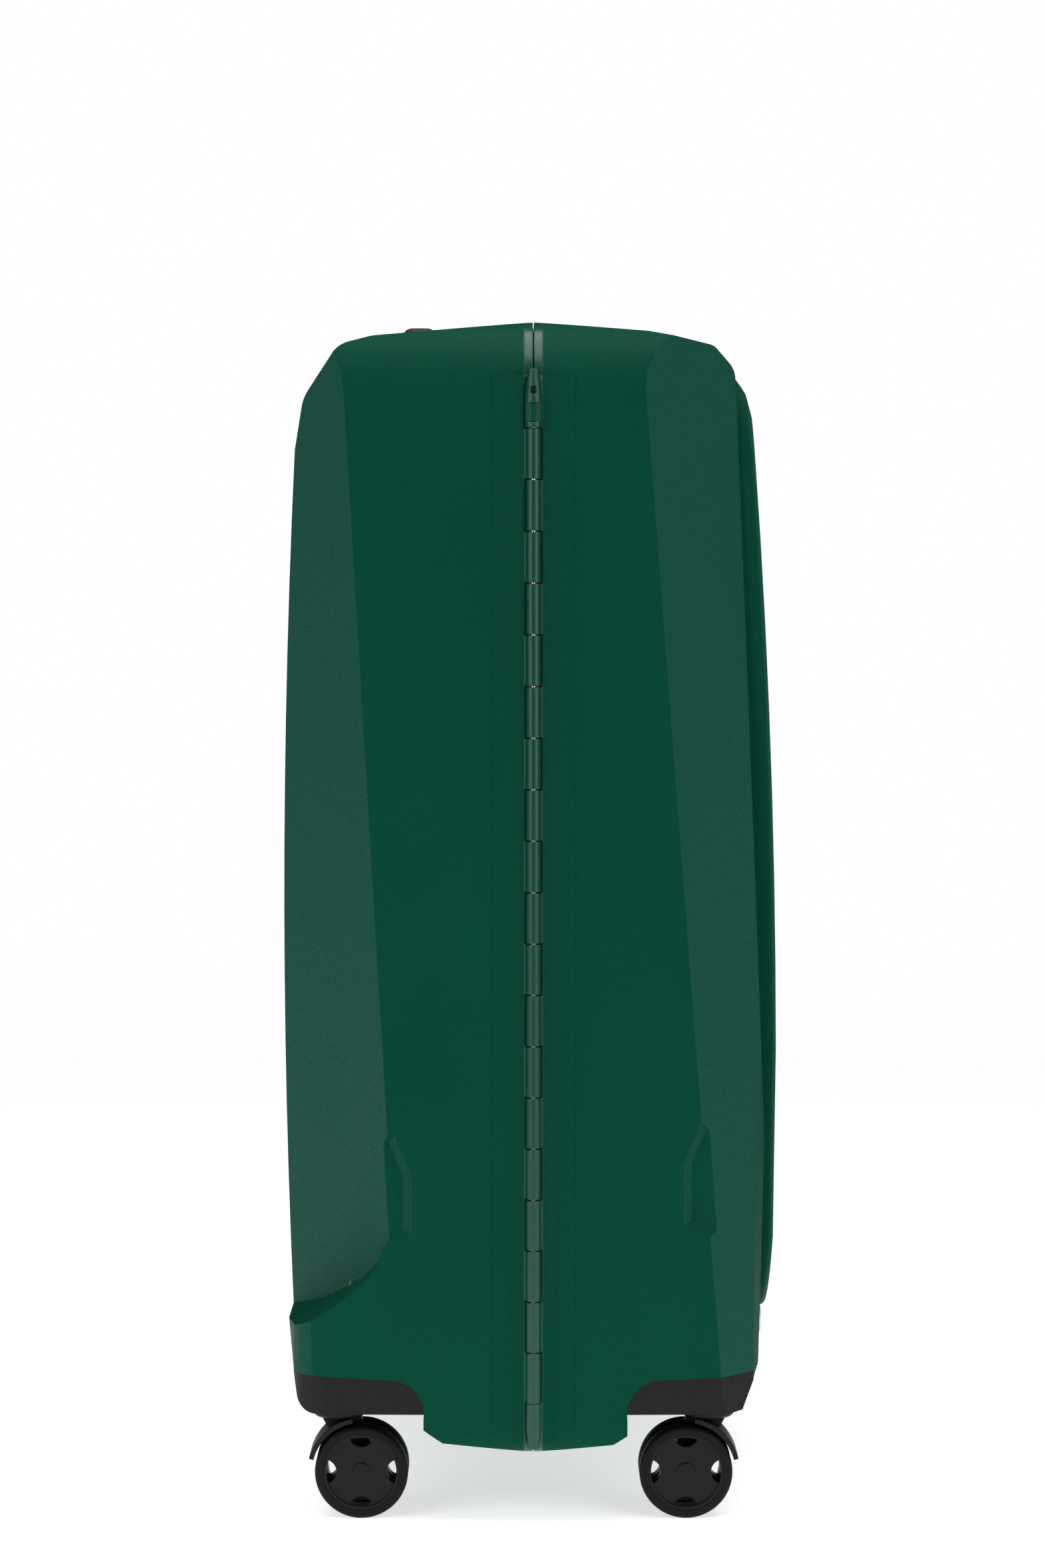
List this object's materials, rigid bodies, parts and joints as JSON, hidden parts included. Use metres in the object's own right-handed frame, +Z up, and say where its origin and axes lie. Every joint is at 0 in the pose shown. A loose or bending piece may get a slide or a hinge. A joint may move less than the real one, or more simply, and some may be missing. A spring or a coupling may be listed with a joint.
{
  "type": "hard shell suitcase",
  "caption": "Upright hard shell suitcase with a full-length side hinge, latches and lock, telescopic trolley handle, carry handles and twin-disc swivel casters.",
  "frame": {"origin": "on the floor, under the middle of the case's bounding box", "axes": "+Z up, X across the width with the hinge on -X and the latches on +X, +Y towards the back half with the trolley handle"},
  "size_m": [0.49, 0.2883, 0.695],
  "materials": {
    "green_shell": "moulded, finely grained",
    "green_trim": "moulded, smooth",
    "black_plastic": "moulded, fine grain",
    "dark_plastic": "moulded, satin",
    "fork_plastic": "moulded, satin",
    "wheel_plastic": "moulded, satin",
    "latch_plastic": "moulded, satin",
    "grip_plastic": "soft touch",
    "dial_plastic": "moulded, satin",
    "tyre": "soft polyurethane",
    "rubber_seal": "extruded",
    "tube_aluminium": "anodised, drawn",
    "steel": "plated",
    "lock_metal": "plated",
    "badge_metal": "satin",
    "lining_fabric": "woven polyester",
    "divider_fabric": "woven polyester over board",
    "webbing": "woven webbing"
  },
  "bodies": {
    "back_case": {"back_shell": "green_shell", "back_lining": "lining_fabric", "back_left_corner": "black_plastic", "back_right_corner": "black_plastic", "hinge_pin": "steel", "closure_seal": "rubber_seal", "back_corner_screws": "steel", "packing_straps": "webbing", "strap_buckles": "dark_plastic", "left_outer_tube": "tube_aluminium", "right_outer_tube": "tube_aluminium", "trolley_bezel": "green_trim", "tube_feet": "dark_plastic", "latch_keepers": "dark_plastic", "lock_housing": "dark_plastic", "dial_axle": "steel", "top_handle_cup": "dark_plastic", "side_handle_cup": "dark_plastic"},
    "front_case": {"front_shell": "green_shell", "front_lining": "lining_fabric", "front_left_corner": "black_plastic", "front_right_corner": "black_plastic", "hinge_plug": "green_shell", "front_corner_screws": "steel", "divider_board": "divider_fabric", "front_badge": "badge_metal", "latch_bases": "dark_plastic", "latch_pins": "steel"},
    "trolley_middle": {"left_middle_tube": "tube_aluminium", "right_middle_tube": "tube_aluminium"},
    "trolley_top": {"left_inner_tube": "tube_aluminium", "right_inner_tube": "tube_aluminium", "trolley_grip": "grip_plastic"},
    "trolley_release": {"trolley_button": "dark_plastic"},
    "top_carry": {"top_handle": "grip_plastic"},
    "side_carry": {"side_handle": "grip_plastic"},
    "key_plug": {"key_cylinder": "lock_metal"},
    "lock_release": {"lock_button": "dark_plastic"},
    "upper_lever": {"upper_latch": "latch_plastic"},
    "centre_lever": {"centre_latch": "latch_plastic"},
    "lower_lever": {"lower_latch": "latch_plastic"},
    "dial_1": {"lock_dial_1": "dial_plastic"},
    "dial_2": {"lock_dial_2": "dial_plastic"},
    "dial_3": {"lock_dial_3": "dial_plastic"},
    "back_left_swivel": {"back_left_fork": "fork_plastic"},
    "back_left_wheels": {"back_left_axle": "steel", "back_left_wheel_discs": "wheel_plastic", "back_left_tyres": "tyre"},
    "back_right_swivel": {"back_right_fork": "fork_plastic"},
    "back_right_wheels": {"back_right_axle": "steel", "back_right_wheel_discs": "wheel_plastic", "back_right_tyres": "tyre"},
    "front_left_swivel": {"front_left_fork": "fork_plastic"},
    "front_left_wheels": {"front_left_axle": "steel", "front_left_wheel_discs": "wheel_plastic", "front_left_tyres": "tyre"},
    "front_right_swivel": {"front_right_fork": "fork_plastic"},
    "front_right_wheels": {"front_right_axle": "steel", "front_right_wheel_discs": "wheel_plastic", "front_right_tyres": "tyre"}
  },
  "joints": [
    {"name": "case_hinge", "type": "hinge", "parent": "back_case", "child": "front_case", "pos_m": [-0.24, -0.0015, 0.35], "axis": [0, 0, -1], "range_deg": [0, 180]},
    {"name": "trolley_lower", "type": "slide", "parent": "back_case", "child": "trolley_middle", "axis": [0, 0, 1], "range_m": [0, 0.2]},
    {"name": "trolley_upper", "type": "slide", "parent": "trolley_middle", "child": "trolley_top", "axis": [0, 0, 1], "range_m": [0, 0.2]},
    {"name": "trolley_press", "type": "slide", "parent": "trolley_top", "child": "trolley_release", "axis": [0, 0, -1], "range_m": [0, 0.002], "stiffness_N_per_m": 400, "springref_m": -0.001},
    {"name": "top_handle_pull", "type": "slide", "parent": "back_case", "child": "top_carry", "axis": [0, 0, 1], "range_m": [0, 0.016]},
    {"name": "side_handle_pull", "type": "slide", "parent": "back_case", "child": "side_carry", "axis": [1, 0, 0], "range_m": [0, 0.016]},
    {"name": "key_turn", "type": "hinge", "parent": "back_case", "child": "key_plug", "pos_m": [0.24, 0.0205, 0.397], "axis": [1, 0, 0], "range_deg": [0, 90]},
    {"name": "lock_press", "type": "slide", "parent": "back_case", "child": "lock_release", "axis": [-1, 0, 0], "range_m": [0, 0.002], "stiffness_N_per_m": 400, "springref_m": -0.001},
    {"name": "upper_latch_swing", "type": "hinge", "parent": "front_case", "child": "upper_lever", "pos_m": [0.241, -0.0235, 0.566], "axis": [0, 0, -1], "range_deg": [0, 75]},
    {"name": "centre_latch_swing", "type": "hinge", "parent": "front_case", "child": "centre_lever", "pos_m": [0.241, -0.0235, 0.366], "axis": [0, 0, -1], "range_deg": [0, 75]},
    {"name": "lower_latch_swing", "type": "hinge", "parent": "front_case", "child": "lower_lever", "pos_m": [0.241, -0.0235, 0.166], "axis": [0, 0, -1], "range_deg": [0, 75]},
    {"name": "dial_1_turn", "type": "hinge", "parent": "back_case", "child": "dial_1", "pos_m": [0.2404, 0.0205, 0.358], "axis": [0, 0, 1], "continuous": true},
    {"name": "dial_2_turn", "type": "hinge", "parent": "back_case", "child": "dial_2", "pos_m": [0.2404, 0.0205, 0.366], "axis": [0, 0, 1], "continuous": true},
    {"name": "dial_3_turn", "type": "hinge", "parent": "back_case", "child": "dial_3", "pos_m": [0.2404, 0.0205, 0.374], "axis": [0, 0, 1], "continuous": true},
    {"name": "back_left_swivel_turn", "type": "hinge", "parent": "back_case", "child": "back_left_swivel", "pos_m": [-0.196, 0.111, 0.07], "axis": [0, 0, 1], "continuous": true},
    {"name": "back_left_wheel_roll", "type": "hinge", "parent": "back_left_swivel", "child": "back_left_wheels", "pos_m": [-0.196, 0.098, 0.027], "axis": [1, 0, 0], "continuous": true},
    {"name": "back_right_swivel_turn", "type": "hinge", "parent": "back_case", "child": "back_right_swivel", "pos_m": [0.196, 0.111, 0.07], "axis": [0, 0, 1], "continuous": true},
    {"name": "back_right_wheel_roll", "type": "hinge", "parent": "back_right_swivel", "child": "back_right_wheels", "pos_m": [0.196, 0.098, 0.027], "axis": [1, 0, 0], "continuous": true},
    {"name": "front_left_swivel_turn", "type": "hinge", "parent": "front_case", "child": "front_left_swivel", "pos_m": [-0.196, -0.103, 0.07], "axis": [0, 0, 1], "continuous": true},
    {"name": "front_left_wheel_roll", "type": "hinge", "parent": "front_left_swivel", "child": "front_left_wheels", "pos_m": [-0.196, -0.09, 0.027], "axis": [1, 0, 0], "continuous": true},
    {"name": "front_right_swivel_turn", "type": "hinge", "parent": "front_case", "child": "front_right_swivel", "pos_m": [0.196, -0.103, 0.07], "axis": [0, 0, 1], "continuous": true},
    {"name": "front_right_wheel_roll", "type": "hinge", "parent": "front_right_swivel", "child": "front_right_wheels", "pos_m": [0.196, -0.09, 0.027], "axis": [1, 0, 0], "continuous": true}
  ]
}
